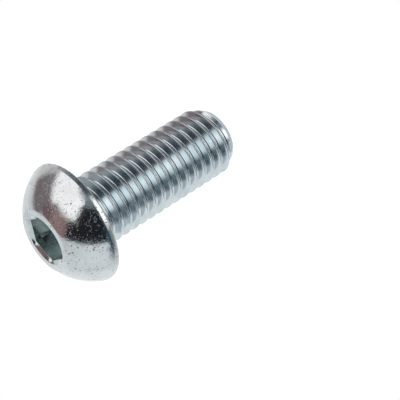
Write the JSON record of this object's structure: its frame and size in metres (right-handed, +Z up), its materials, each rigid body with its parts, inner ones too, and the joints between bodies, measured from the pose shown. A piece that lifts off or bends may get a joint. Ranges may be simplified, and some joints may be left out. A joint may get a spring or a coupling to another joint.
{
  "type": "button head screw",
  "caption": "Button head screw with a hexagon socket and a right-hand thread that runs almost to the head, lying on its side.",
  "frame": {"origin": "on the surface that the lying screw rests on, under the middle of its bounding box in X and under its own axis in Y", "axes": "+X runs along the lying screw from the head towards the tip, +Z is up, and the screw's own axis lies in the XZ plane, about 9.3 degrees off +X, with the tip lower than the head"},
  "size_m": [0.0314, 0.0172, 0.0173],
  "materials": {
    "zinc_plated_steel": "bright zinc plating with a pale blue-grey passivate, glossy, with fine specks and a soft grain"
  },
  "bodies": {
    "root": {"screw": "zinc_plated_steel"}
  },
  "joints": []
}
